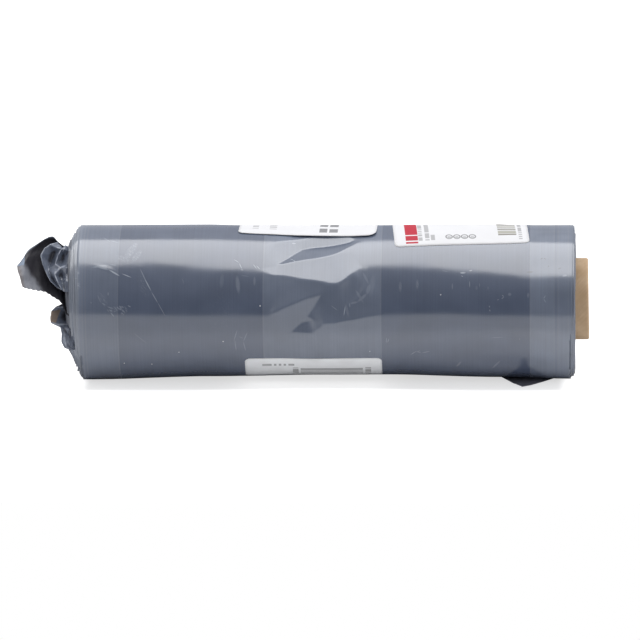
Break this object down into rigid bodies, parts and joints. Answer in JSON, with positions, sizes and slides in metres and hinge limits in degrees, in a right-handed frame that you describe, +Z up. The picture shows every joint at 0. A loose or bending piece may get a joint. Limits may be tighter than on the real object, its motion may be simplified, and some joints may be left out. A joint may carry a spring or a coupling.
{
  "type": "roll of sanitary bags",
  "caption": "Roll of thin film bags wound on a cardboard core, with paper labels on the last turn and loose film gathered out of one end.",
  "frame": {"origin": "middle of the core's bore, on its axis", "axes": "+X along the core, towards the end where the core sticks out of the bags; +Z up as the roll lies on its flat spot; -Y is the front"},
  "size_m": [0.3208, 0.0861, 0.0857],
  "materials": {
    "board": "kraft cardboard, matt, creped",
    "film": "thin polyethylene film, slate blue-grey, glossy",
    "label_paper": "white label paper, matt, with plain grey and red print"
  },
  "bodies": {
    "root": {"core_tube": "board", "bag_web": "film", "contents_label": "label_paper", "barcode_label": "label_paper", "stock_label": "label_paper"}
  },
  "joints": []
}
